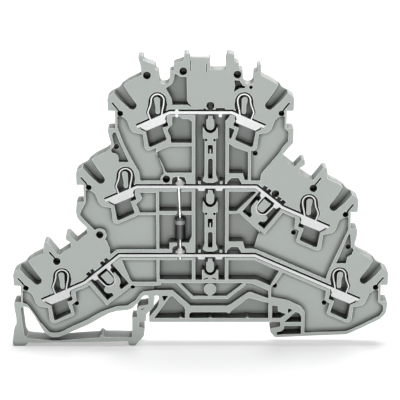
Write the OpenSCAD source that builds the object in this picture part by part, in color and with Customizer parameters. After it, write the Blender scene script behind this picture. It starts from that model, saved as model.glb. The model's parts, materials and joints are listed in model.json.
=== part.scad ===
// Rail terminal block with three levels of spring clamps and a diode between the two lower levels.
// X runs along the block and Z runs up from the rail seat. The open side of the moulding faces -Y.
// Outlines are drawn in the X-Z plane and cut to depth from the open side.

/* [Rail] */
// Width of the mounting rail
rail_w = 35; // [34.6:0.1:35.4]
// Thickness of the rail's edge
rail_t = 1; // [0.9:0.1:1.2]
// Play between the rail's edges and the hooks
rail_play = 0.1; // [0.05:0.05:0.2]

/* [Housing] */
// Thickness of the block along the rail
block_t = 5.2; // [5:0.1:6.2]
// Thickness of the closed back wall
back_wall = 1.2; // [0.8:0.1:1.5]
// Depth of the shallow floors round the clamps
shallow_drop = 1.2; // [0.8:0.1:1.5]
// Depth of the stepped pockets
step_drop = 1.9; // [1.6:0.1:2.3]
// Height of the upper bar above the rail seat
upper_z = 53.15; // [52.8:0.05:54.5]
// Height of the middle bar above the rail seat
middle_z = 34.65; // [34.4:0.05:35]
// Height of the lower bar above the rail seat
lower_z = 17.2; // [16.9:0.05:17.4]
// Radius of the large round peg holes
peg_r = 0.95; // [0.7:0.05:1]
// Radius of the small round peg holes
pin_r = 0.65; // [0.45:0.05:0.75]

/* [Bars and clamps] */
// Thickness of the current bars
bar_t = 0.7; // [0.5:0.05:0.8]
// Height of the slot above a bar
bar_gap = 0.5; // [0.35:0.05:0.6]
// Slope of a bar where it runs under a clamp, in degrees
clamp_slope = 24; // [23.5:0.1:24.5]
// Slope of a bar where it runs past a jumper contact, in degrees
jumper_slope = 39; // [38.5:0.1:39.5]
// Length of the sloped end of the upper bar, along X
upper_end = 8; // [7.9:0.1:8.2]
// Thickness of the clamp springs
spring_t = 0.3; // [0.2:0.05:0.35]
// Radius of the nubs on the upper bar
nub_r = 0.45; // [0.4:0.05:0.5]
// Depth of the edge of metal parts behind the open side
metal_inset = 0.15; // [0.1:0.05:0.3]
// Width of the widened bar under a clamp
flange_h = 1.9; // [1.6:0.1:2]
// Width of the wire funnel at its inner end
funnel_w = 2.1; // [1.8:0.1:2.3]

/* [Jumper channel] */
// Clear width of each jumper channel
channel_w = 2.2; // [1.9:0.1:2.4]
// Width of the springy post between the channels
post_w = 2.75; // [2.6:0.05:2.9]

/* [Diode] */
// Diameter of the diode body
diode_d = 2.6; // [2.2:0.1:2.8]
// Length of the diode body
diode_l = 5.3; // [4.8:0.1:5.5]
// Diameter of the diode leads
lead_d = 0.55; // [0.45:0.05:0.6]

/* [Marker] */
// Width of the marker tag
tag_w = 4.7; // [4.5:0.05:4.8]
// Thickness of the marker tag
tag_t = 0.7; // [0.5:0.1:0.9]

/* [Hidden] */

$fn = 48;
plastic_colour = "#b2b8b4";
bar_colour = "#e6e8e8";
steel_colour = "#e9eaea";
diode_colour = "#2b2b2d";
wire_colour = "#dfe1e1";
solder_colour = "#f4f5f4";
tag_colour = "#f2f3f2";
front = -block_t / 2;
back = block_t / 2;
floor_y = back - back_wall;
deep_drop = block_t - back_wall;
over = 1;

// Where the bars bend, as distances along X from the middle of the block
upper_bend = [-9.6, 5.2];
middle_bend = [-17.75, 11.3];
lower_bend = [-22.2, 11.1];
middle_knee = 17.7;
lower_knee = -30.9;
middle_reach = [-25.5, 29.2];
lower_reach = [-41.5, 37.05];

// Height of a bar after a run along X at a slope
function fall(z, run, slope) = z - abs(run) * tan(slope);

middle_knee_z = fall(middle_z, middle_knee - middle_bend[1], jumper_slope);
lower_knee_z = fall(lower_z, lower_knee - lower_bend[0], jumper_slope);

// Centre lines of the three bars
upper_path = [
    [upper_bend[0] - upper_end, fall(upper_z, upper_end, clamp_slope)],
    [upper_bend[0], upper_z],
    [upper_bend[1], upper_z],
    [upper_bend[1] + upper_end, fall(upper_z, upper_end, clamp_slope)]];
middle_path = [
    [middle_reach[0], fall(middle_z, middle_reach[0] - middle_bend[0], clamp_slope)],
    [middle_bend[0], middle_z],
    [middle_bend[1], middle_z],
    [middle_knee, middle_knee_z],
    [middle_reach[1], fall(middle_knee_z, middle_reach[1] - middle_knee, clamp_slope)]];
lower_path = [
    [lower_reach[0], fall(lower_knee_z, lower_reach[0] - lower_knee, clamp_slope)],
    [lower_knee, lower_knee_z],
    [lower_bend[0], lower_z],
    [lower_bend[1], lower_z],
    [lower_reach[1], fall(lower_z, lower_reach[1] - lower_bend[1], clamp_slope)]];

function last(list) = list[len(list) - 1];
function reversed(list) = [for (i = [len(list) - 1 : -1 : 0]) list[i]];
function unit(v) = v / norm(v);

// Points of an arc, from one angle to another
function arc(centre, r, from, to, steps = 8) =
    [for (i = [0 : steps]) centre + r * [cos(from + (to - from) * i / steps),
        sin(from + (to - from) * i / steps)]];

// A point put at a new place, with its corner radius kept if it has one
function placed(p, x, z) = len(p) > 2 ? [x, z, p[2]] : [x, z];

// Points moved up by a height, so that a stretch of outline follows its level
function lift(dz, points) = [for (p = points) placed(p, p[0], p[1] + dz)];

// The arc that rounds the corner b between a and c
function corner(a, b, c, r) =
    let (u = unit(a - b), v = unit(c - b), half = acos(u * v) / 2,
        d = min(r / tan(half), 0.48 * norm(a - b), 0.48 * norm(c - b)),
        rr = d * tan(half), m = b + unit(u + v) * rr / sin(half),
        p = b + u * d - m, q = b + v * d - m, from = atan2(p[1], p[0]),
        turn = atan2(p[0] * q[1] - p[1] * q[0], p * q))
    arc(m, rr, from, from + turn, ceil(abs(turn) / (rr < 0.5 ? 60 : 40)));

// A closed outline of [x, z] corners, or [x, z, r] where the corner is round
function soften(points) = [for (i = [0 : len(points) - 1])
    let (n = len(points), p = points[i], a = points[(i + n - 1) % n], c = points[(i + 1) % n])
    each len(p) < 3 ? [p] : corner([a[0], a[1]], [p[0], p[1]], [c[0], c[1]], p[2])];

// The corner of a strip's edge at each point of its centre line, mitred
function edge_line(points, side) = [for (i = [0 : len(points) - 1])
    let (a = points[max(i - 1, 0)], b = points[i], c = points[min(i + 1, len(points) - 1)],
        u = unit(i == 0 ? c - b : b - a), v = unit(i == len(points) - 1 ? b - a : c - b),
        n = unit([-u[1] - v[1], u[0] + v[0]]))
    b + n * side / max(n * [-u[1], u[0]], 0.5)];

// Outline of a strip that lies from one offset to another beside its centre line
function strip(points, low, high) = concat(edge_line(points, low), reversed(edge_line(points, high)));

// A round outline for a hole, or for the boss round one
module disc(centre, r) {
    translate([centre[0], centre[1]])
        circle(r = r);
}

// A flat outline as a slab between two depths below the open side
module slab(from, to) {
    translate([0, front + to, 0])
        rotate([90, 0, 0])
            linear_extrude(to - from)
                children();
}

// A cutter that starts in front of the open side and ends at a depth
module pocket(depth) {
    slab(-over, depth)
        children();
}

// The six clamps: [end of the bar, hand], where hand 1 opens to -X and hand -1 opens to +X
UPPER_L = [upper_path[0], 1];
UPPER_R = [last(upper_path), -1];
MIDDLE_L = [middle_path[0], 1];
MIDDLE_R = [last(middle_path), -1];
LOWER_L = [lower_path[0], 1];
LOWER_R = [last(lower_path), -1];
CLAMPS = [UPPER_L, UPPER_R, MIDDLE_L, MIDDLE_R, LOWER_L, LOWER_R];

// From the end of the bar to the crown of the clamp's spring chamber
crown = [5, 8.65];

// Points given from a clamp's crown, placed for that clamp
function at_clamp(clamp, points) = [for (p = points)
    placed(p, clamp[0][0] + clamp[1] * (crown[0] + p[0]), clamp[0][1] + crown[1] + p[1])];

// Height of the bar's centre line at a place beside the crown
function bar_under(x) = -crown[1] + (x + crown[0]) * tan(clamp_slope);

// Half the bar's thickness, measured upright on its slope
bar_half = bar_t / 2 / cos(clamp_slope);

// Outline of the block from the shoulder over a clamp down to its lower lug
SHOULDER = [[-4.4, 3.86], [-7, 2.56, 2], [-8.6, 1.4, 1], [-9.3, 0.36, 1], [-10.9, -0.44, 2],
    [-12.1, -1.3, 1.2], [-12, -3.6], [-11.95, -4.6, 0.2], [-10.3, -4.65], [-10.25, -8.8],
    [-12, -8.85, 0.3]];

// The funnel for the wire: its axis leaves the inner end steeply up and outwards
funnel_end = [-6.05, -3.3];
funnel_angle = 128;
funnel_run = 5.6;
funnel_flare = 0.45;

function beside_funnel(u, w) = funnel_end
    + u * [cos(funnel_angle), sin(funnel_angle)] + w * [sin(funnel_angle), -cos(funnel_angle)];

module funnel(clamp) {
    mouth = funnel_w / 2 + funnel_flare;
    polygon(at_clamp(clamp, concat(
        [beside_funnel(2 * funnel_run, -mouth - funnel_flare), beside_funnel(funnel_run / 2, -mouth)],
        reversed(arc(funnel_end, funnel_w / 2, funnel_angle - 90, funnel_angle - 270, 6)),
        [beside_funnel(funnel_run / 2, funnel_w / 2 + 0.1), beside_funnel(funnel_run, mouth),
            beside_funnel(2 * funnel_run, mouth + funnel_flare)])));
}

// The arched chamber that the spring sits in, down to the slot over the bar
module chamber(clamp) {
    polygon(at_clamp(clamp, concat(
        [[-2.2, bar_under(-2.2)], [-2.2, -6.3], [-2.75, -5.2], [-2.7, -4.6], [-2.35, -3.5]],
        arc([0, -2.2], 2.2, 178, 0, 10),
        [[2.35, -3.1], [2.2, -3.9], [1.85, -5.1], [1.85, bar_under(1.85)]])));
}

// The tongue that stands inside the spring
module tongue(clamp) {
    polygon(at_clamp(clamp, soften([[-1, -1.2, 0.7], [0.58, -1.2, 0.7], [0.58, -5.35, 0.45],
        [-0.42, -5.35, 0.45], [-0.5, -3.45]])));
}

// The pocket under the bar, with the notches beside the flange
module cage(clamp) {
    polygon(at_clamp(clamp, soften([[-4.3, bar_under(-4.3)], [-4.1, -9.2], [-2.85, -9.75], [-2.5, -11.75],
        [-2.15, -13.8, 0.5], [2.2, -11.75, 0.3], [1.2, -8.75], [2.5, -8.35], [2.55, -7.9],
        [2.2, -7.2], [2.3, bar_under(2.3)]])));
}

// The face round a clamp that stands level with the rim
module clamp_face(clamp) {
    polygon(at_clamp(clamp, soften([[-9.7, -5.9], [-8.4, -6.1], [-7.5, -6.8], [-6.6, -9.1], [-5.9, -9.9, 0.5],
        [-3.6, -10.4], [-3.4, -11.9], [-3.1, -14.9, 1.4], [3.1, -12.2, 0.8], [2.3, -9.4],
        [3.5, -8.6], [3.2, -5.4], [3.4, -3], [2.2, 0.6, 1.5], [-1, 2], [-4, 6], [-9.7, 6]])));
}

// The groove in the shoulder's upper face, and the slit beside the upper lug
module shoulder_groove(clamp) {
    slab(block_t / 2 - 0.8, block_t / 2 - 0.4)
        polygon(at_clamp(clamp, [[-6.9, 2.1], [-4.5, 3.3], [-4.5, 4.3], [-6.9, 3.1]]));
}

module lug_slit(clamp) {
    polygon(at_clamp(clamp, strip([[-9.2, -4.9], [-9.6, -4.2], [-10.9, -2.65]], -0.2, 0.2)));
}

// The small blind hole in the corner under the upper lug
LUG_HOLE = [-9, -5.25];

// Spring: from its foot on the bar, over the arch and down to the tip on the bar
function spring_line() = concat(
    [[-1.6, bar_under(-1.6)], [-2.35, -5.15], [-2.2, -4.5], [-1.75, -3.4]],
    arc([0, -2.1], 1.55, 190, -6, 12),
    [[1.45, -3.1], [1.2, -4.25], [0.9, bar_under(0.9)]]);

module spring(clamp, path) {
    color(steel_colour)
        slab(metal_inset, deep_drop)
            difference() {
                polygon(at_clamp(clamp, strip(spring_line(), -spring_t / 2, spring_t / 2)));
                polygon(strip(path, -bar_t / 2, bar_t / 2));
            }
}

// Half widths of the rail space, and the hooks that reach under the rail's edges
rail_edge = rail_w / 2 + rail_play;
nose_z = -rail_t - 0.2;
seat_half = 14.9;

// The upper edge between the two upper clamps, from left to right: marker posts, the two
// round notches for the wire guides, the tag's seat, the jumper notch and its hooked sides
notch_z = 60.2;
tag_seat_x = [-4.95, 0.05];
tag_top_z = 67.1;
jumper_notch = [0.1, 3.8];
jumper_notch_z = 63.6;

function top_edge() = concat(
    [[-16.3, 62.5], [-16.7, 65], [-17.1, 66.2], [-17.1, 67, 0.2], [-15.9, 67, 0.2], [-15.85, 65.8],
        [-13.1, 64.9], [-12.95, 63.6], [-12.3, 63.4, 0.3], [-12.1, notch_z, 1], [-9.7, notch_z, 1],
        [-9.6, 63.4, 0.3], [-8.65, 63.6], [-8.65, 65.1], [-6.3, 65.9], [-6.1, 67.7, 0.3],
        [tag_seat_x[0], 67.5], [tag_seat_x[0], tag_top_z - tag_t],
        [tag_seat_x[1], tag_top_z - tag_t]],
    [[jumper_notch[0], jumper_notch_z], [jumper_notch[1], jumper_notch_z],
        [jumper_notch[1], 65.8], [4.25, 67.7, 0.2], [5.2, 67.5], [5.85, 67.4], [5.9, 65.6],
        [6.9, 65.3], [7.05, 63.8], [7.8, 63.6, 0.3], [8, notch_z - 0.1, 1],
        [10.4, notch_z - 0.1, 1], [10.6, 63.2, 0.3], [11.35, 63.3], [11.4, 64.8], [12.2, 64.9],
        [12.25, 62.35]]);

// One side of a jumper block: two hooked teeth with sloped floors, from the low side up.
// The teeth stand on the shoulder of the clamp beside them.
TEETH = [[-4.4, 5.2], [-4.2, 6.5, 0.3], [-3.3, 6.5, 0.3], [-0.75, 3.25, 0.2], [2.4, 5.4], [2.3, 6.5],
    [1.1, 7.3, 0.5], [1.2, 8.6, 0.4], [2, 8.6, 0.3], [3.75, 6.7, 0.2], [6.5, 8.9]];

// The left side, from the marker post down to the foot
function left_edge() = concat(
    at_clamp(UPPER_L, SHOULDER),
    at_clamp(UPPER_L, [[-12.05, -9.6], [-11.8, -10.8], [-11.4, -12.4]]),
    at_clamp(MIDDLE_L, [[-3.55, 4.6]]),
    at_clamp(MIDDLE_L, SHOULDER),
    at_clamp(MIDDLE_L, [[-12.25, -11.4, 1.5], [-12, -13, 1.5], [-9.7, -15.4]]),
    reversed(at_clamp(LOWER_L, TEETH)),
    at_clamp(LOWER_L, SHOULDER));

// The right side, from the lower lug up to the marker post
function right_edge() = concat(
    reversed(at_clamp(LOWER_R, SHOULDER)),
    at_clamp(LOWER_R, [[-3.75, 4.6], [-3.55, 6.2]]),
    at_clamp(MIDDLE_R, [[-11.75, -11.5], [-11.95, -10.2]]),
    reversed(at_clamp(MIDDLE_R, SHOULDER)),
    at_clamp(MIDDLE_R, TEETH),
    at_clamp(UPPER_R, [[-9.7, -15.1], [-11.95, -12.5]]),
    reversed(at_clamp(UPPER_R, SHOULDER)));

// The snap foot with its catch, from the left side round to the rail seat
arm_low = -5.5;
FOOT = [[-48.6, 4.5], [-48.1, 1], [-48.1, -1.4], [-48.8, -2.2, 0.4], [-49.2, -5.3],
    [-49.1, -6.3, 0.5], [-46, -6.3, 0.5], [-45.3, arm_low], [-30, arm_low + 0.15],
    [-20.4, arm_low + 0.4], [-20.2, -6.2, 0.5], [-18.6, -6.2, 0.5], [-16.3, -3.6, 1]];

function catch_edge() = [[-rail_edge + 1.25, nose_z - 0.4, 0.3], [-rail_edge, nose_z], [-rail_edge, 0.15],
    [-16.1, 0.15], [-seat_half - 0.05, 0.12]];

// The fixed hook, from the rail seat under the rail's edge and along the lower edge
function hook_edge() = concat(
    [[-seat_half, 0], [seat_half, 0], [seat_half + 0.1, 0.12], [rail_edge, 0.12],
        [rail_edge, nose_z + 0.1], [rail_edge - 2.55, nose_z - 0.6, 0.15]],
    [[15.05, -2.6, 0.8], [16.3, -4.05, 0.6], [22, -3.75], [34, -3.25], [35.1, -2.85, 2],
        [42.2, 0.7, 1.5], [43.8, 2.3, 1.5], [44.1, 4.6]]);

// The whole outline of the moulding
module outline() {
    polygon(soften(concat(left_edge(), FOOT, catch_edge(), hook_edge(), right_edge(),
        reversed(top_edge()))));
}

// The column between the levels: two channels for jumper bars with a springy post between them
column_x = 0.1;
column_half = channel_w + post_w / 2 + 0.08;
BARS = [upper_path, middle_path, lower_path];

function column_box(low, high, half) = [[column_x - half, low], [column_x + half, low],
    [column_x + half, high], [column_x - half, high]];

// The channels from just under a bar down to a floor
module channels(z, low) {
    polygon(column_box(low, z - bar_half, column_half));
}

// The post under a bar: a tongue in a U-shaped gap, the block that carries it, and the slotted stem
module tongue_block(z, low, half) {
    difference() {
        polygon(column_box(z + low, z - 3.65, half));
        u_gap(z);
    }
    polygon(column_box(z - 1.7, z - bar_t, 0.55));
    tongue_shape(z, 0.92, -3.3);
}

module tongue_shape(z, r, low) {
    polygon(concat([[column_x - r, z - 1.6], [column_x + r, z - 1.6]],
        arc([column_x, z + low], r, 0, -180, 8)));
}

module u_gap(z) {
    polygon(concat([[column_x - 1.55, z - 2], [column_x + 1.55, z - 2]],
        arc([column_x, z - 3.5], 1.55, 0, -180, 8)));
}

module post(z, next_z) {
    half = post_w / 2;
    tongue_block(z, -6.3, 1.8);
    polygon([[column_x - half, z - 6.2], [column_x + half, z - 6.2],
        [column_x + half, next_z + 3.2], [column_x + 1.78, next_z + 2], [column_x + 1.78, next_z + 1.6],
        [column_x + 0.8, next_z + 1.15], [column_x - 0.8, next_z + 1.15],
        [column_x - 1.78, next_z + 1.6], [column_x - 1.78, next_z + 2], [column_x - half, next_z + 3.2]]);
}

// The two slots in a post's stem, with a thin rib in the upper one, and the pair of small holes above them
module post_slots(z, next_z) {
    for (side = [-1, 1])
        disc([column_x + side, z - 6.7], 0.33);
    difference() {
        polygon(soften([[column_x - 0.62, z - 10.2, 0.3], [column_x + 0.62, z - 10.2, 0.3],
            [column_x + 0.62, z - 7.9, 0.2], [column_x - 0.62, z - 7.9, 0.2]]));
        polygon(column_box(z - 11, z - 9, 0.13));
    }
    polygon(soften([[column_x - 0.6, next_z + 2.15, 0.25], [column_x + 0.6, next_z + 2.15, 0.25],
        [column_x + 0.6, z - 11.3, 0.5], [column_x - 0.6, z - 11.3, 0.5]]));
}

// A small nub at the foot of each channel, over the bar
module channel_nubs(z) {
    for (side = [-1, 1])
        translate([column_x + side * 2.65, 0])
            polygon([[-0.3, z + 0.75], [0.3, z + 0.75], [0.3, z + 1.55], [-0.3, z + 1.55]]);
}

module column() {
    difference() {
        union() {
            channels(upper_z, middle_z + bar_half);
            channels(middle_z, lower_z + bar_half);
            channels(lower_z, lower_z - 6.15);
        }
        post(upper_z, middle_z);
        post(middle_z, lower_z);
        tongue_block(lower_z, -6.3, 2);
        channel_nubs(middle_z);
        channel_nubs(lower_z);
    }
    post_slots(upper_z, middle_z);
    post_slots(middle_z, lower_z);
    for (side = [-1, 1])
        polygon([for (p = [[0.4, -5.55], [1, -5.6], [1.75, -6.1], [1.5, -6.2], [0.5, -5.85]])
            [column_x + side * p[0], lower_z + p[1]]]);
}

// Slot in the moulding for a bar, with its gap above
module bar_slot(path) {
    polygon(strip(path, -bar_t / 2 - 0.12, bar_t / 2 + bar_gap));
}

// Raised border along both sides of a bar slot
module bar_border(path) {
    polygon(strip(path, -bar_t / 2 - 0.7, bar_t / 2 + bar_gap + 0.85));
}

// Deep pockets of the upper level
module upper_pockets() {
    polygon(soften(lift(upper_z, [[-10.6, 6], [-9, 7.2, 1], [-8.6, 8.4], [-8.45, 9.5], [-8, 9.5],
        [-7.2, 8.8, 0.8], [-5.6, 8.8], [-5.5, 3], [-5.05, 2.25], [-4.45, 1.65], [-4.55, 1.4],
        [-5.3, 1.95], [-9.1, 1.95], [-9.15, 3.4, 1]])));
    polygon(soften(lift(upper_z, [[-9.1, -0.95], [-9.1, -2.9], [-10.15, -4], [-10.15, -4.7],
        [-9.5, -6], [-9.4, -7.4], [-4.35, -7.4], [-4.35, -2.1], [-5.2, -1.5], [-6.7, -1.5],
        [-7.2, -0.95]])));
    polygon(soften(concat(
        lift(middle_z, [[4.6, 3.5], [8, 3.5], [8.45, 1.8], [9.25, 1.8]]),
        lift(upper_z, [[9.25, -9.7], [6, -8.5], [4.6, -7.6]]))));
}

// Deep pockets of the middle level, beside and round the diode
module middle_pockets() {
    polygon(lift(middle_z, [[-12.4, -6], [-4.4, -6], [-4.4, -1.05], [-12.4, -1.05]]));
    polygon(concat(
        lift(middle_z, [[-4.4, -6.9], [-6.6, -6.9], [-6.6, -6.6], [-8.2, -6.6], [-8.2, -6.9], [-12.4, -6.9]]),
        lift(lower_z, [[-12.4, 1.8], [-9.9, 1.8], [-9.9, 3.4], [-5.1, 3.4], [-4.4, 5]])));
    polygon(lift(middle_z, [[4.6, -6], [6.5, -6], [11.3, -1.3], [11, -1.05], [4.6, -1.05]]));
    polygon(concat(
        lift(middle_z, [[4.6, -6.7], [7.2, -6.5], [12.2, -11.3]]),
        lift(lower_z, [[10.95, 1.9], [8.6, 1.9], [8.1, 3.7], [4.6, 3.7]])));
}

// Notches where the diode's leads cross the ribs, from the upper lead's to the lower lead's tip
module lead_notches() {
    for (z = [middle_z - 0.7, middle_z - 6.4, lower_z + 3, lower_z - 0.7])
        translate([diode_x - 0.2, z])
            square([2 * lead_d + 0.1, 1.2], center = true);
}

// Deep pockets under the lower bar
module lower_pockets() {
    polygon(lift(lower_z, [[-12.4, -6.1], [-4.4, -6.1], [-4.4, -1.05], [-12.4, -1.05]]));
    polygon(soften(lift(lower_z, [[4.6, -6.1], [11.5, -6.1, 0.8], [14.95, -7.7], [17.1, -3.9],
        [11.3, -1.2], [11.1, -1.05], [4.6, -1.05]])));
}

// Deep windows above the middle and lower bars, where the leads and contacts come through
module windows(z) {
    polygon(soften(lift(z, [[-9.25, 0.6], [-9.25, 1.9, 0.3], [-8.8, 2.6, 0.4], [-6.2, 2.6, 0.5],
        [-5.75, 1.6], [-5.75, 0.6]])));
    polygon(soften(lift(z, [[4.2, 0.6], [4.2, 1.3], [5.2, 2.35, 0.4], [7, 2.35, 0.4], [7.7, 1],
        [7.7, 0.6]])));
}

// Small deep openings round the upper bar and the right clamp
module upper_openings() {
    polygon(lift(upper_z, [[-1.7, 0.5], [-0.75, 0.5], [-0.8, 0.85], [-1.5, 1.25]]));
    polygon(lift(upper_z, [[1, 0.5], [3.6, 0.5], [3.6, 1.2], [1.6, 1.2]]));
    polygon(soften(lift(upper_z, [[5.7, 8, 0.2], [7.1, 7.9, 0.2], [7.8, 6.7], [8.6, 6.4, 0.2],
        [8.4, 6.05, 0.2], [7.1, 6], [6.2, 5.4], [5.7, 4.9, 0.3], [6, 6.6]])));
    polygon(soften(lift(upper_z, [[4.6, -3.6], [5, -3.65], [5.95, -4.2, 0.2], [5.1, -6.4, 0.2],
        [4.65, -6.4, 0.2]])));
    polygon(lift(upper_z, [[3.4, -0.45], [5, -0.45], [4.7, -0.8], [4, -1.8], [3.4, -1.9]]));
}

// Pocket for a jumper contact, in the frame of the slope that it hangs from
CONTACTS = [
    [[14.5, fall(middle_z, 14.5 - middle_bend[1], jumper_slope)], 1],
    [[-26.55, fall(lower_z, lower_bend[0] + 26.55, jumper_slope)], -1]];

// Thickness of a jumper contact's strip, and the radius of its bend
contact_t = 0.32;
contact_r = 1.6;

// Points given along the slope and square to it, placed for contact c
function at_contact(c, points) = let (
        o = CONTACTS[c][0], s = CONTACTS[c][1],
        u = [s * cos(jumper_slope), -sin(jumper_slope)],
        w = [-s * sin(jumper_slope), -cos(jumper_slope)])
    [for (p = points) let (q = o + p[0] * u + p[1] * w) placed(p, q[0], q[1])];

module contact_pocket(c) {
    difference() {
        polygon(at_contact(c, [[-2.9, 0], [4.1, 0], [4.1, 6.95], [-2.9, 6.95]]));
        contact_cradle(c);
        contact_tongue(c);
    }
    polygon(at_contact(c, [[-2.9, -0.3], [-0.6, -0.3], [-0.6, -1.7], [-1.55, -1.7], [-1.55, -1.15],
        [-1.85, -1.15], [-1.85, -1.7], [-2.9, -1.7]]));
    polygon(at_contact(c, [[1.6, -0.3], [3.9, -0.3], [3.9, -1.7], [2.85, -1.7], [2.85, -1.15],
        [2.55, -1.15], [2.55, -1.7], [1.6, -1.7]]));
}

// The wall that holds the contact's bend from outside, on its stem
module contact_cradle(c) {
    difference() {
        polygon(at_contact(c, soften([[-1.95, 2.3, 0.2], [-1.95, 5, 1.6], [-0.4, 6.05], [-0.4, 7],
            [2, 7], [2, 6.1], [3.1, 5.4, 1], [3.1, 4.3, 0.4], [2.5, 4.1]])));
        polygon(at_contact(c, concat([[2.8, 1], [-1.55, 1], [-1.5, 3.25]],
            contact_bend(contact_r + contact_t / 2 + 0.06), [[2.5, 3.1]])));
    }
}

// The tongue inside a contact's bend
module contact_tongue(c) {
    polygon(at_contact(c, soften([[-0.7, 1.05], [1.35, 1.05], [1.2, 4.1, 0.7], [-0.75, 4.1, 0.8]])));
}

// Points round a contact's bend at a radius
function contact_bend(r) = arc([0.55, 3.15], r, 165, 15, 8);

module contact_wall(c) {
    polygon(at_contact(c, [[-3.8, -0.5], [5, -0.5], [5, 7.85], [-3.8, 7.85]]));
}

// Shallow floors of the upper level, left and right
module upper_floors() {
    polygon(concat(
        at_clamp(UPPER_L, [[-9.7, -5.9], [-9.7, -8.8], [-8.2, -12.8]]),
        lift(middle_z, [[-19.3, 7.75], [-17.2, 3.85], [-16.9, 1.7], [-11.2, 1.7], [-11.2, 4.4], [-13, 9]]),
        at_clamp(UPPER_L, [[-0.5, -13], [-3, -8.5], [-8, -5.9]])));
    polygon(concat(
        at_clamp(UPPER_R, [[-9.8, -5.9], [-9.8, -8.9], [-10.8, -9.8], [-10.7, -12.1], [-9.4, -13.5],
            [-8.5, -15.1]]),
        lift(middle_z, [[12.5, 3.55], [12.3, 2.35], [12.2, 1.7], [9.95, 1.7], [9.95, 9.6]]),
        at_clamp(UPPER_R, [[-3, -11], [-3, -8.5], [-8, -5.9]])));
}

// Shallow floors of the middle level, left and right, and the small one beside the rows
module middle_floors() {
    polygon(concat(
        at_clamp(MIDDLE_L, [[-9.75, -5.9], [-9.75, -8.9], [-11.05, -11.3], [-11.2, -12.2], [-9.95, -13.7],
            [-8.1, -15.6]]),
        lift(lower_z, [[-27, 5.6], [-25.4, 3.9], [-24.6, 2.1], [-24.5, 0.5], [-13.1, 0.5]]),
        lift(middle_z, [[-13.1, -7], [-18, -7]]),
        at_clamp(MIDDLE_L, [[-2, -9], [-8, -5.9]])));
    polygon(lift(middle_z, [[-17, -1.35], [-13.1, -1.35], [-13.1, -6.35], [-17.1, -6.35],
        [-17.95, -4.25], [-16.5, -2.8]]));
    polygon(concat(
        at_clamp(MIDDLE_R, [[-9.75, -5.9], [-9.75, -9], [-8.3, -12.3]]),
        at_clamp(LOWER_R, [[2, 0.8], [3.4, -3.2]]),
        lift(lower_z, [[28, -7.5], [11.1, 0], [10.9, 2], [12.2, 6.1], [13, 8]]),
        [[middle_knee, middle_knee_z]],
        at_clamp(MIDDLE_R, [[-2, -9], [-8, -5.9]])));
}

// Shallow floors under the lower bar: inside the left bulge, left of the rows and on the right
module lower_floors() {
    polygon(concat(
        at_clamp(LOWER_L, [[-9.8, -5.9], [-9.9, -8.95], [-8.7, -9.55], [-7, -11.95], [-5.5, -14.45]]),
        soften([[-42, -0.2], [-39.7, -2.9, 1.2], [-37.2, -2.7, 1.5], [-34, -1], [-30.5, 0.6], [-27, 2.7],
            [-23, 4.15], [-20.4, 4.35], [-18.4, 5.7], [-17.3, 7.3], [-16.5, 8], [-13.8, 8.3],
            [-13.8, 9.5], [-19.4, 9.5]]),
        [[lower_knee, lower_knee_z]],
        at_clamp(LOWER_L, [[-3, -8.5], [-8, -5.9]])));
    polygon(lift(lower_z, [[-22, -0.2], [-13.1, -0.2], [-13.1, -6.7], [-19.4, -6.7]]));
    polygon(concat(
        at_clamp(LOWER_R, [[-9.7, -5.9], [-9.7, -9], [-11, -10], [-11, -11.4], [-10.2, -12.6]]),
        soften([[38.5, -0.3], [35.5, -1.8, 1.5], [34, -2.4], [23.6, -2.8], [23.6, 2.7], [22.6, 4.2, 1],
            [19.5, 5.7], [15.2, 6.6], [15.2, 8.9]]),
        lift(lower_z, [[16.1, -7.2], [18.6, -3.4]]),
        at_clamp(LOWER_R, [[-3, -8.5], [-8, -5.9]])));
}

module shallow_floors() {
    difference() {
        union() {
            upper_floors();
            middle_floors();
            lower_floors();
        }
        for (clamp = CLAMPS)
            clamp_face(clamp);
        for (path = BARS)
            bar_border(path);
        for (c = [0, 1])
            contact_wall(c);
        disc([-10.6, middle_z + 2.05], peg_r + 0.45);
        disc([-27, lower_z + 5.4], peg_r + 0.7);
    }
}

// Stepped pockets: beside two of the clamps, left of the column and along the base
module stepped_pockets() {
    disc([-23.2, middle_z + 9.2], pin_r + 0.05);
    disc([34.65, lower_z + 1.4], pin_r + 0.05);
    polygon([[-4.8, 63.4], [-4.6, 63.4], [-4.6, 66], [-4.8, 66]]);
    polygon([[-1, 63.1], [-0.8, 63.1], [-0.8, 65.1], [-1, 65.1]]);
    polygon(soften(at_clamp(MIDDLE_L, [[-2.9, 8.5], [-3.15, 7.6, 0.3], [-2.6, 5.3], [-3.2, 4.3],
        [-2.2, 3.2], [-1.6, 2.4, 0.5], [-1.6, 1.1], [0.85, 1.1], [-1.1, 5.6], [-2.2, 8.4]])));
    polygon(soften(at_clamp(LOWER_R, [[0.9, 1], [-1.55, 1], [-1.75, 2.6, 0.6], [-3, 3.3], [-2.7, 5.3],
        [-2.4, 8.5], [-2.05, 8.5], [-0.9, 5.5]])));
    polygon(concat(
        lift(upper_z, [[-13, -9.75], [-11.5, -8.95], [-9.6, -8.25], [-4.35, -8.25]]),
        lift(middle_z, [[-4.35, 3.65], [-10.5, 3.65], [-10.9, 4.15], [-11.6, 5.95]])));
    difference() {
        polygon([[-7.35, 10.2], [8.3, 10.2], [4.2, 6.85], [-4.1, 6.85]]);
        disc([column_x, 8.6], 1.5);
        polygon([[column_x - 0.5, 8], [column_x - 0.5, 6], [column_x + 0.5, 6], [column_x + 0.5, 8]]);
    }
    polygon([[-13.8, 9.5], [-12.2, 9.7], [-12, 10.25], [-8.3, 10.2], [-4.45, 6.1], [4.5, 6.1],
        [8.85, 9.6], [8.9, 10.2], [10.5, 10.1], [14.55, 8.2], [14.55, 6.2], [9.95, 7.9], [9.2, 7.6],
        [5.1, 4.6], [4.4, 4.3], [-4.7, 4.3], [-9.2, 8.35], [-13.8, 8.3]]);
}

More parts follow.
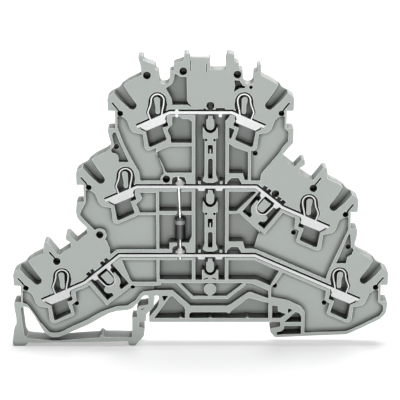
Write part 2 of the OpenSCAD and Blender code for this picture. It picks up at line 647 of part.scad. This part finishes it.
// Deep pockets of the base between its thick wall and the seat plate
seat_plate = 1.05;

module base_pockets() {
    polygon(soften([[-13.8, seat_plate], [-9.9, 6.6], [-9.2, 6.9, 0.3], [-6.3, 3.9], [-6.1, 3.3],
        [-6.1, seat_plate], [-6.8, seat_plate], [-7.2, seat_plate + 0.5, 0.3], [-7.6, seat_plate]]));
    polygon(soften([[-5.1, seat_plate], [-5.1, 2.1], [-4.5, 2.65, 0.3], [4.2, 2.65], [4.8, 2.1, 0.4],
        [5.4, 3], [9.5, 6.3, 0.4], [10.1, 6.3], [14.6, 5], [14.6, seat_plate], [9.8, seat_plate],
        [9.4, seat_plate + 0.5, 0.3], [9, seat_plate], [0.5, seat_plate],
        [0.1, seat_plate + 0.45, 0.3], [-0.3, seat_plate]]));
    polygon([[15.5, seat_plate], [15.5, 4.4], [16.9, 4.2], [17, 2.9], [18.3, 2.3], [19, 2.2], [17.9, 1.2],
        [17.3, seat_plate]]);
    polygon([[19.5, 3.6], [20.6, 3.2], [19.4, 2.2]]);
    polygon(soften([[18.6, 0], [22.8, 0], [22.8, 1.5, 0.5], [22.2, 2.4, 0.5], [21.3, 2.7]]));
    polygon(soften([[18.5, -1], [22.8, -1], [22.8, -3.1], [16.7, -3.35, 0.2], [16.7, -2.6, 0.2],
        [17.9, -2.4, 0.3], [18.45, -1.9, 0.4]]));
    polygon([[-11.8, 6.85], [-10.2, 6.9], [-11.4, 5.3]]);
}

// The gap between the body and the snap foot, up to the slot beside the S-shaped link
module foot_gap() {
    polygon(soften([[-47, 3.9, 0.5], [-45.3, 4, 1], [-44, 2.3], [-41.3, -2.6, 1.5], [-39.3, -4.05, 1.2],
        [-37.3, -3.8, 1.5], [-34.5, -2.6], [-30, -0.6], [-27, 1.2], [-25, 2.3], [-23, 2.9], [-20.5, 3.1],
        [-19.2, 3.6], [-17.6, 5.3], [-16.4, 6.9, 0.4], [-15.2, 6.95, 0.3], [-15.2, 4.6, 0.2], [-17.5, 4.2],
        [-18.1, 3.2], [-18.1, 1.3], [-19.3, 1.3], [-19.3, -4.1, 0.5], [-23.5, -4], [-26.2, -4],
        [-26.6, -3.4, 0.2], [-27.2, -3.4, 0.2], [-27.5, -4.1], [-32, -4.4], [-38.3, -4.95, 8],
        [-43, -4.5], [-45.7, -4.2, 0.6], [-46.3, -3]]));
}

// The slot on the link's other side, open to the rail seat
module link_slot() {
    polygon(soften([[-15.9, -over], [-15.1, -over], [-15.05, 1.3], [-13, 3.8, 0.8], [-12.6, 4.8],
        [-12.6, 6.95, 0.5], [-13.8, 6.95, 0.5], [-13.85, 4.1, 0.5], [-14.9, 2.9], [-15.9, 1.9]]));
    polygon([[-17.2, 3.2], [-16.2, 3.9], [-16.7, 3.1]]);
}

// Every peg hole: [x, z, radius]
peg_holes = concat(
    lift(upper_z, [[-15.1, 9.15, peg_r], [-6.4, 10.15, peg_r], [6.55, 9.35, peg_r],
        [0.1, 1.75, peg_r + 0.05], [9.8, 6.25, pin_r * 0.7], [11, -10.25, pin_r]]),
    lift(middle_z, [[-22.7, 9.75, pin_r], [-10.6, 2.05, peg_r], [16, -1.65, peg_r],
        [20.6, -11.75, pin_r], [25.2, -0.25, peg_r]]),
    lift(lower_z, [[-37.7, -1.4, peg_r], [-27, 5.4, peg_r], [-33.1, -12.6, pin_r], [28.5, -12.5, pin_r],
        [-19.1, -8.2, pin_r], [16.1, -8, pin_r], [34.15, 1.8, pin_r]]));

// Narrow slits that run out from two of the peg holes
module hole_slits() {
    polygon(strip(lift(middle_z, [[25.4, 0.3], [27, 2.35]]), -0.2, 0.2));
    polygon(strip(lift(lower_z, [[-37.9, -0.9], [-39.5, 1]]), -0.2, 0.2));
}

module deep_pockets() {
    polygon(lift(upper_z, [[bar_nubs[0][0] - nub_r - 0.1, 0], [bar_nubs[0][0] + nub_r + 0.1, 0],
        [bar_nubs[0][0] + nub_r + 0.1, -1.25], [bar_nubs[0][0] - nub_r - 0.1, -1.25]]));
    upper_pockets();
    middle_pockets();
    lower_pockets();
    windows(middle_z);
    windows(lower_z);
    upper_openings();
    base_pockets();
    hole_slits();
    lead_notches();
    column();
    for (path = BARS)
        bar_slot(path);
    for (c = [0, 1])
        contact_pocket(c);
    for (p = peg_holes)
        disc(p, p[2]);
    for (clamp = CLAMPS) {
        funnel(clamp);
        cage(clamp);
        lug_slit(clamp);
        disc(at_clamp(clamp, [LUG_HOLE])[0], pin_r + 0.07);
        difference() {
            chamber(clamp);
            tongue(clamp);
        }
    }
}

module housing() {
    color(plastic_colour)
        difference() {
            slab(0, block_t)
                difference() {
                    outline();
                    foot_gap();
                    link_slot();
                }
            pocket(shallow_drop)
                shallow_floors();
            pocket(step_drop)
                stepped_pockets();
            pocket(deep_drop)
                deep_pockets();
            for (clamp = CLAMPS)
                shoulder_groove(clamp);
        }
}

// The widened edge of a bar under a clamp
module flange(clamp) {
    slab(metal_inset, metal_inset + bar_t)
        polygon(at_clamp(clamp, [for (p = [[-4.3, 0], [-3.9, 0.75], [-2.7, flange_h], [-1.9, flange_h],
            [1.9, flange_h + 0.1], [2, flange_h - 0.4], [1.75, 1.1], [1.9, 0.6], [2.3, 0]])
            [p[0], bar_under(p[0]) - p[1]]]));
}

// A current bar with the widened edges under its two clamps
module bar(path, left, right) {
    color(bar_colour)
        union() {
            slab(metal_inset, deep_drop)
                polygon(strip(path, -bar_t / 2, bar_t / 2));
            flange(left);
            flange(right);
        }
}

// The pair of contact lips under a bar, beside the springy post
module contact_lips(z) {
    slab(metal_inset, deep_drop)
        for (side = [-1, 1])
            polygon([for (p = [[1.2, 0], [3.1, 0], [2.9, -0.6], [1.45, -0.6]])
                [column_x + side * p[0], z - bar_t / 2 + p[1] + (p[1] == 0 ? 0.1 : 0)]]);
}

// The nubs along the upper bar: [x, height from its centre line]
bar_nubs = [[-8, -0.7], [-8, 0.35], [2.5, -0.7]];

module upper_bar() {
    bar(upper_path, UPPER_L, UPPER_R);
    color(bar_colour)
        for (p = bar_nubs)
            translate([p[0], front + metal_inset + bar_t, upper_z + p[1]])
                rotate([90, 0, 0])
                    cylinder(r = nub_r, h = bar_t);
}

module middle_bar() {
    difference() {
        union() {
            bar(middle_path, MIDDLE_L, MIDDLE_R);
            color(bar_colour)
                contact_lips(middle_z);
        }
        upper_lead(middle_z - 1, middle_z + 1);
    }
}

module lower_bar() {
    difference() {
        union() {
            bar(lower_path, LOWER_L, LOWER_R);
            color(bar_colour)
                contact_lips(lower_z);
        }
        lower_lead(lower_z - 1, lower_z + 1);
    }
}

module spring_upper_left() {
    spring(UPPER_L, upper_path);
}

module spring_upper_right() {
    spring(UPPER_R, upper_path);
}

module spring_middle_left() {
    spring(MIDDLE_L, middle_path);
}

module spring_middle_right() {
    spring(MIDDLE_R, middle_path);
}

module spring_lower_left() {
    spring(LOWER_L, lower_path);
}

module spring_lower_right() {
    spring(LOWER_R, lower_path);
}

// The bent strip of a jumper contact, which hangs from the bar by its two legs
module jumper_contact(c, path) {
    color(bar_colour)
        difference() {
            union() {
                slab(metal_inset, deep_drop)
                    polygon(strip(at_contact(c, concat([[-1.3, 0], [-1.2, 3.2]], contact_bend(contact_r),
                        [[2.4, 0]])), -contact_t / 2, contact_t / 2));
                slab(metal_inset, metal_inset + bar_t) {
                    polygon(at_contact(c, [[-2.4, 0], [-0.9, 0], [-1.05, 1.5], [-2.1, 1.05]]));
                    polygon(at_contact(c, [[1.8, 0], [3.6, 0], [3.2, 1.15], [2.2, 1.3]]));
                }
            }
            slab(0, block_t)
                polygon(strip(path, -bar_t / 2, bar_t / 2));
        }
}

module jumper_contact_middle() {
    jumper_contact(0, middle_path);
}

module jumper_contact_lower() {
    jumper_contact(1, lower_path);
}

// The diode lies upright in its pocket, with its leads bent to the bars above and below
diode_x = -7.3;
diode_y = floor_y - diode_d / 2;
diode_low = lower_z + 3.8;

// Lean of the upper lead in degrees, and how far the leads' tips stand past their bars
lead_lean = 2.3;
upper_tip = 2.5;
lower_tip = 1.7;

module diode_body() {
    color(diode_colour)
        translate([diode_x, diode_y, diode_low])
            cylinder(d = diode_d, h = diode_l);
}

// Stretches of the two leads, from one height to another: the upper one leans a little
module upper_lead(low, high) {
    translate([diode_x, diode_y, diode_low + diode_l])
        rotate([0, -lead_lean, 0])
            translate([0, 0, low - diode_low - diode_l])
                cylinder(d = lead_d, h = high - low);
}

module lower_lead(low, high) {
    translate([diode_x, diode_y, low])
        cylinder(d = lead_d, h = high - low);
}

module diode_lead_upper() {
    color(wire_colour)
        upper_lead(diode_low + diode_l, middle_z + upper_tip);
}

module diode_lead_lower() {
    color(wire_colour)
        lower_lead(lower_z - lower_tip, diode_low);
}

// A dome of solder on a bar
solder_r = 1.3;
solder_h = 0.95;

module solder(z) {
    color(solder_colour)
        difference() {
            intersection() {
                translate([diode_x, diode_y, z + bar_t / 2])
                    sphere(r = solder_r);
                translate([diode_x - solder_r, diode_y - solder_r + 0.01, z + bar_t / 2])
                    cube([2 * solder_r, 2 * solder_r - 0.02, solder_h]);
            }
            children();
        }
}

module solder_upper() {
    solder(middle_z)
        upper_lead(middle_z, middle_z + 4);
}

module solder_lower() {
    solder(lower_z)
        lower_lead(lower_z, diode_low);
}

module marker_tag() {
    color(tag_colour)
        slab(0.2, block_t - 0.2)
            polygon([[tag_seat_x[0] + 0.1, tag_top_z - tag_t], [tag_seat_x[0] + tag_w, tag_top_z - tag_t],
                [tag_seat_x[0] + tag_w, tag_top_z], [tag_seat_x[0] + 0.1, tag_top_z]]);
}

housing();
upper_bar();
middle_bar();
lower_bar();
spring_upper_left();
spring_upper_right();
spring_middle_left();
spring_middle_right();
spring_lower_left();
spring_lower_right();
jumper_contact_middle();
jumper_contact_lower();
diode_body();
diode_lead_upper();
diode_lead_lower();
solder_upper();
solder_lower();
marker_tag();
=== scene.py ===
import json
import math

import bpy
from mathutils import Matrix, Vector


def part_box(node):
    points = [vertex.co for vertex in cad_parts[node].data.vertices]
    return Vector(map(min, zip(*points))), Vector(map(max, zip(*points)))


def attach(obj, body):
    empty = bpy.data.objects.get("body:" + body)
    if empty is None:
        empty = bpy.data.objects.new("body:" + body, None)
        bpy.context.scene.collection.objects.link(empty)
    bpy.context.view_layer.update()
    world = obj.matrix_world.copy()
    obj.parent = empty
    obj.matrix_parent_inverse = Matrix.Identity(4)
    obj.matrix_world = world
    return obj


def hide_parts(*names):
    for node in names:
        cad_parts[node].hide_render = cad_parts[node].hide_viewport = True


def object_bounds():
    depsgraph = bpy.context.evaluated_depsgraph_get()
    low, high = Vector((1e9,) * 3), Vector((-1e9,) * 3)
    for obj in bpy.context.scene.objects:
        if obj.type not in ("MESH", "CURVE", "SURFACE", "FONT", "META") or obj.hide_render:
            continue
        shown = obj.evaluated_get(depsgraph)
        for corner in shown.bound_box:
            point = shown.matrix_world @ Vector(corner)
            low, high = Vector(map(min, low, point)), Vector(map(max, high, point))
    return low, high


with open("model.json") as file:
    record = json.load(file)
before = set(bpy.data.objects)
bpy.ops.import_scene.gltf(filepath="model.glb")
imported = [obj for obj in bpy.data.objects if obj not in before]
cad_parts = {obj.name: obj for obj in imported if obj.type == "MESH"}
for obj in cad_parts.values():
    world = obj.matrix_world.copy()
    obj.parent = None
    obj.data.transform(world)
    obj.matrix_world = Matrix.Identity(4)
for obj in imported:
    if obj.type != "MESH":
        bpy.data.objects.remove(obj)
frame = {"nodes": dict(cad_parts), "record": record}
cad_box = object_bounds()

MM = 0.001
NODES = frame["nodes"]
BODY = "root"
SLOT_OF = {p["node"]: p["material_slot"] for p in frame["record"]["subparts"]}

# The photograph's view: straight at the open side, from a little above
IMAGE_PX = 400
PX_PER_MM = 4.10
CAMERA_ELEVATION = math.radians(15)
CAMERA_DISTANCE = 400 * MM
CAMERA_TARGET = Vector((-2.4, -2.6, 31.45)) * MM
SENSOR_MM = 36

# The solder cones: their height against the plain dome's, how they narrow, and how finely they are divided
SOLDER_RISE = 1.15
SOLDER_TAPER = 1.1
SOLDER_RINGS = 10
SOLDER_SIDES = 32
LEAD_R = 0.3 * MM

# The grey band printed on the diode, down from its upper end
BAND_START = 0.6 * MM
BAND_WIDTH = 1.0 * MM

# Light levels: what the lamps give, what the surroundings give, and what the camera sees behind
SIDE_W = 1.0
KEY_W = 9.4
BACK_W = 8
SUN_W = 2.0
SKY_ON_OBJECT = 0.01
FLOOR_GLOW = 0.44
FLOOR_WHITE = (0.85, 0.85, 0.85)
FLOOR_HALF = 3

# Moulded edges are this round, and a painted highlight makes them this much lighter; the gain says how little
# of a turn counts as an edge
EDGE_RADIUS = 0.2 * MM
EDGE_PAINTED_HIGHLIGHT = 1.6
EDGE_GAIN = 8.0
EDGE_SAMPLES = 6

# How far gaps and pockets reach out to paint shade on a place, and how strongly
GAP_PAINTED_SHADE = (1.2 * MM, 1.4)
POCKET_PAINTED_SHADE = (9 * MM, 0.4)
PAINTED_SHADE_SAMPLES = 8

PLASTIC_SHINE = 0.12
DIODE_SHINE = 0.8
SMOOTH_UP_TO = math.radians(32)

WHITE = (1, 1, 1)
PLASTIC = (0.395, 0.425, 0.405)
TIN = (0.62, 0.63, 0.63)
STEEL = (0.66, 0.67, 0.67)
WIRE = (0.85, 0.86, 0.86)
BLACK = (0.012, 0.012, 0.013)
BAND = (0.24, 0.25, 0.25)
SOLDER = (0.97, 0.97, 0.96)
TAG = (0.88, 0.89, 0.88)


def new_material(name):
    """A material with its shader, and the tree to add nodes to."""
    material = bpy.data.materials.new(name)
    material.use_nodes = True
    tree = material.node_tree
    return material, tree, tree.nodes["Principled BSDF"]


def add_node(tree, kind, **values):
    """A new node with plain values on its named sockets."""
    node = tree.nodes.new(kind)
    for name, value in values.items():
        node.inputs[name].default_value = value
    return node


def math_node(tree, operation, *values):
    """A sum on values, where each is a number or comes from another node."""
    node = tree.nodes.new("ShaderNodeMath")
    node.operation = operation
    for socket, value in zip(node.inputs, values):
        if isinstance(value, (int, float)):
            socket.default_value = value
        else:
            tree.links.new(value, socket)
    return node.outputs["Value"]


def colour_mix(tree, first, second, share):
    """Runs from one colour to the other, where each is a plain colour or comes from another node."""
    mix = tree.nodes.new("ShaderNodeMix")
    mix.data_type = "RGBA"
    for name, colour in (("A", first), ("B", second)):
        if isinstance(colour, tuple):
            mix.inputs[name].default_value = (*colour, 1)
        else:
            tree.links.new(colour, mix.inputs[name])
    tree.links.new(share, mix.inputs["Factor"])
    return mix.outputs["Result"]


def object_coordinates(tree):
    return add_node(tree, "ShaderNodeTexCoord").outputs["Object"]


def noise(tree, scale, detail):
    """Random values from 0 to 1 that stay with the object."""
    node = add_node(tree, "ShaderNodeTexNoise", Scale=scale, Detail=detail)
    tree.links.new(object_coordinates(tree), node.inputs["Vector"])
    return node.outputs["Fac"]


def rounded_edges(tree, radius):
    """Normals that run over the edges as if they were rounded."""
    bevel = add_node(tree, "ShaderNodeBevel", Radius=radius)
    bevel.samples = EDGE_SAMPLES
    return bevel.outputs["Normal"]


def add_grain(tree, shader, scale, height, normal=None):
    """Fine unevenness of a surface, as a bump of that height in metres."""
    bump = add_node(tree, "ShaderNodeBump", Strength=0.3, Distance=height)
    tree.links.new(noise(tree, scale, detail=3), bump.inputs["Height"])
    if normal:
        tree.links.new(normal, bump.inputs["Normal"])
    tree.links.new(bump.outputs["Normal"], shader.inputs["Normal"])


def edge_share(tree, normal):
    """How far a point lies on an edge: 0 on a flat face, 1 on a sharp corner."""
    geometry = tree.nodes.new("ShaderNodeNewGeometry")
    dot = tree.nodes.new("ShaderNodeVectorMath")
    dot.operation = "DOT_PRODUCT"
    tree.links.new(geometry.outputs["True Normal"], dot.inputs[0])
    tree.links.new(normal, dot.inputs[1])
    turn = math_node(tree, "SUBTRACT", 1.0, dot.outputs["Value"])
    return math_node(tree, "MINIMUM", math_node(tree, "MULTIPLY", turn, EDGE_GAIN), 1.0)


def openness(tree, reach, power):
    """How open a place is: 1 on a free face, and falling towards 0 down a narrow gap."""
    occlusion = add_node(tree, "ShaderNodeAmbientOcclusion", Distance=reach)
    occlusion.samples = PAINTED_SHADE_SAMPLES
    return math_node(tree, "POWER", occlusion.outputs["AO"], power)


def shaded(tree, colour, shade):
    """A colour with its lightness multiplied by a value."""
    scale = tree.nodes.new("ShaderNodeVectorMath")
    scale.operation = "SCALE"
    tree.links.new(colour, scale.inputs[0])
    tree.links.new(shade, scale.inputs["Scale"])
    return scale.outputs["Vector"]


def mottle(tree, colour, scale, amount):
    """Slow changes of shade round a colour."""
    darker, lighter = [tuple(c * (1 + change) for c in colour) for change in (-amount, amount)]
    return colour_mix(tree, darker, lighter, noise(tree, scale, detail=2))


def plastic(name, colour, roughness, grain):
    """Moulded plastic: a painted highlight makes it a little lighter along its edges, and painted shade makes
    it darker down its gaps and pockets.
    """
    material, tree, shader = new_material(name)
    shader.inputs["Roughness"].default_value = roughness
    shader.inputs["Specular IOR Level"].default_value = PLASTIC_SHINE
    normal = rounded_edges(tree, EDGE_RADIUS)
    # Painted highlight: the colour is lightened along edges, as rounded rims would catch the light
    painted_highlight = math_node(tree, "MULTIPLY", edge_share(tree, normal), EDGE_PAINTED_HIGHLIGHT)
    # Painted shade: the colour is darkened down narrow gaps and deep pockets, where shade falls
    painted_shade = math_node(tree, "MULTIPLY", openness(tree, *GAP_PAINTED_SHADE), openness(tree, *POCKET_PAINTED_SHADE))
    shade = math_node(tree, "MULTIPLY", math_node(tree, "ADD", painted_highlight, 1.0), painted_shade)
    base = shaded(tree, mottle(tree, colour, scale=60, amount=0.02), shade)
    tree.links.new(base, shader.inputs["Base Color"])
    add_grain(tree, shader, 2500, grain, normal)
    return material


def plated_metal(name, colour, roughness, grain, metallic=1):
    """Metal with a thin, slightly uneven coat."""
    material, tree, shader = new_material(name)
    shader.inputs["Metallic"].default_value = metallic
    shader.inputs["Roughness"].default_value = roughness
    tree.links.new(mottle(tree, colour, scale=1200, amount=0.12), shader.inputs["Base Color"])
    add_grain(tree, shader, 1500, grain)
    return material


def diode_moulding(name, roughness):
    """Black moulding with the grey band near its upper end."""
    material, tree, shader = new_material(name)
    shader.inputs["Roughness"].default_value = roughness
    shader.inputs["Specular IOR Level"].default_value = DIODE_SHINE
    low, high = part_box("diode_body")
    height = tree.nodes.new("ShaderNodeSeparateXYZ")
    tree.links.new(object_coordinates(tree), height.inputs["Vector"])
    band_middle = high[2] - BAND_START - BAND_WIDTH / 2
    on_band = math_node(tree, "COMPARE", height.outputs["Z"], band_middle, BAND_WIDTH / 2)
    base = colour_mix(tree, mottle(tree, BLACK, scale=1800, amount=0.8), BAND, on_band)
    tree.links.new(base, shader.inputs["Base Color"])
    return material


def dress_nodes():
    """Gives every node the finish of its slot, and shades its round stretches smoothly."""
    finishes = {
        "grey_plastic": plastic("grey_plastic", PLASTIC, roughness=0.5, grain=0.02 * MM),
        "tinned_bar": plated_metal("tinned_bar", TIN, roughness=0.12, grain=0.008 * MM),
        "spring_steel": plated_metal("spring_steel", STEEL, roughness=0.12, grain=0.005 * MM),
        "black_moulding": diode_moulding("black_moulding", roughness=0.36),
        "lead_wire": plated_metal("lead_wire", WIRE, roughness=0.45, grain=0.002 * MM),
        "solder_metal": plated_metal("solder_metal", SOLDER, roughness=0.45, grain=0.005 * MM, metallic=0.05),
        "tag_plastic": plastic("tag_plastic", TAG, roughness=0.45, grain=0.01 * MM),
    }
    for name, node in NODES.items():
        mesh = node.data
        mesh.materials.clear()
        mesh.materials.append(finishes[SLOT_OF[name]])
        mesh.shade_smooth()
        mesh.set_sharp_from_angle(angle=SMOOTH_UP_TO)
    for name in ("solder_upper", "solder_lower"):
        add_solder(name, finishes["solder_metal"])


def add_solder(name, finish):
    """A cone of solder that narrows up its lead, in place of the plain dome."""
    low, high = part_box(name)
    x, y = (low[0] + high[0]) / 2, (low[1] + high[1]) / 2
    radius = (high[0] - low[0]) / 2
    height = SOLDER_RISE * (high[2] - low[2])
    points = []
    for ring in range(SOLDER_RINGS + 1):
        rise = ring / SOLDER_RINGS
        width = LEAD_R + (radius - LEAD_R) * (1 - rise) ** SOLDER_TAPER
        for side in range(SOLDER_SIDES):
            turn = 2 * math.pi * side / SOLDER_SIDES
            points.append((x + width * math.cos(turn), y + width * math.sin(turn), low[2] + rise * height))
    faces = []
    for below in range(0, SOLDER_RINGS * SOLDER_SIDES, SOLDER_SIDES):
        above = below + SOLDER_SIDES
        for side in range(SOLDER_SIDES):
            ahead = (side + 1) % SOLDER_SIDES
            faces.append((below + side, below + ahead, above + ahead, above + side))
    faces.append(list(reversed(range(SOLDER_SIDES))))
    faces.append(list(range(SOLDER_RINGS * SOLDER_SIDES, len(points))))
    mesh = bpy.data.meshes.new(name + "_cone")
    mesh.from_pydata(points, [], faces)
    mesh.shade_smooth()
    mesh.materials.append(finish)
    cone = bpy.data.objects.new(name + "_cone", mesh)
    bpy.context.collection.objects.link(cone)
    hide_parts(name)
    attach(cone, BODY)


def add_camera():
    """The photograph's view, with the lens that gives its scale on the open face."""
    data = bpy.data.cameras.new("camera")
    data.sensor_width = SENSOR_MM
    half_view = IMAGE_PX / 2 / PX_PER_MM * MM
    data.lens = SENSOR_MM / 2 * CAMERA_DISTANCE / half_view
    data.clip_start = 0.01
    data.clip_end = 20
    camera = bpy.data.objects.new("camera", data)
    back = Vector((0, -math.cos(CAMERA_ELEVATION), math.sin(CAMERA_ELEVATION)))
    camera.location = CAMERA_TARGET + CAMERA_DISTANCE * back
    camera.rotation_euler = back.to_track_quat("Z", "Y").to_euler()
    bpy.context.collection.objects.link(camera)
    bpy.context.scene.camera = camera


def add_lamp(name, place, width, height, power):
    """A soft lamp that faces the middle of the block."""
    data = bpy.data.lights.new(name, "AREA")
    data.shape = "RECTANGLE"
    data.size = width
    data.size_y = height
    data.energy = power
    lamp = bpy.data.objects.new(name, data)
    lamp.location = place
    lamp.rotation_euler = (Vector(place) - CAMERA_TARGET).to_track_quat("Z", "Y").to_euler()
    bpy.context.collection.objects.link(lamp)


def add_sun(tilt, spread, power):
    """Even light from above on the whole floor, tilted so that the shadow falls a little in front."""
    data = bpy.data.lights.new("above", "SUN")
    data.angle = spread
    data.energy = power
    sun = bpy.data.objects.new("above", data)
    sun.rotation_euler = (-tilt, 0, 0)
    bpy.context.collection.objects.link(sun)


def seen_directly(tree):
    """1 for what the camera sees, straight, mirrored or through glass."""
    path = tree.nodes.new("ShaderNodeLightPath")
    seen = path.outputs["Is Camera Ray"]
    for output in ("Is Glossy Ray", "Is Transmission Ray"):
        seen = math_node(tree, "MAXIMUM", seen, path.outputs[output])
    return seen


def add_surroundings():
    """A white world that lights the object less than it shows behind it."""
    world = bpy.data.worlds.new("world")
    bpy.context.scene.world = world
    world.use_nodes = True
    tree = world.node_tree
    background = tree.nodes["Background"]
    background.inputs["Color"].default_value = (*WHITE, 1)
    level = tree.nodes.new("ShaderNodeMapRange")
    level.inputs["To Min"].default_value = SKY_ON_OBJECT
    level.inputs["To Max"].default_value = 1
    tree.links.new(seen_directly(tree), level.inputs["Value"])
    tree.links.new(level.outputs["Result"], background.inputs["Strength"])


def add_floor():
    """A plain white floor under the lowest point, with a glow that shows but lights nothing."""
    z = cad_box[0][2]
    corners = [(x * FLOOR_HALF, y * FLOOR_HALF, z) for x, y in ((-1, -1), (1, -1), (1, 1), (-1, 1))]
    mesh = bpy.data.meshes.new("floor")
    mesh.from_pydata(corners, [], [(0, 1, 2, 3)])
    floor = bpy.data.objects.new("floor", mesh)
    bpy.context.collection.objects.link(floor)
    material, tree, shader = new_material("floor")
    shader.inputs["Base Color"].default_value = (*FLOOR_WHITE, 1)
    shader.inputs["Roughness"].default_value = 0.9
    shader.inputs["Specular IOR Level"].default_value = 0
    shader.inputs["Emission Color"].default_value = (*WHITE, 1)
    glow = math_node(tree, "MULTIPLY", seen_directly(tree), FLOOR_GLOW)
    tree.links.new(glow, shader.inputs["Emission Strength"])
    mesh.materials.append(material)


dress_nodes()
add_camera()
add_lamp("left", place=(-0.9, -0.9, 0.1), width=0.3, height=0.2, power=SIDE_W)
add_lamp("right", place=(0.9, -0.9, 0.1), width=0.3, height=0.2, power=SIDE_W)
add_lamp("key", place=(0, -1.2, 0.05), width=0.3, height=0.12, power=KEY_W)
add_lamp("behind", place=(0.3, 1.1, 0.45), width=0.8, height=0.5, power=BACK_W)
add_sun(tilt=math.radians(8), spread=math.radians(35), power=SUN_W)
add_surroundings()
add_floor()
bpy.context.scene.view_settings.view_transform = "Standard"
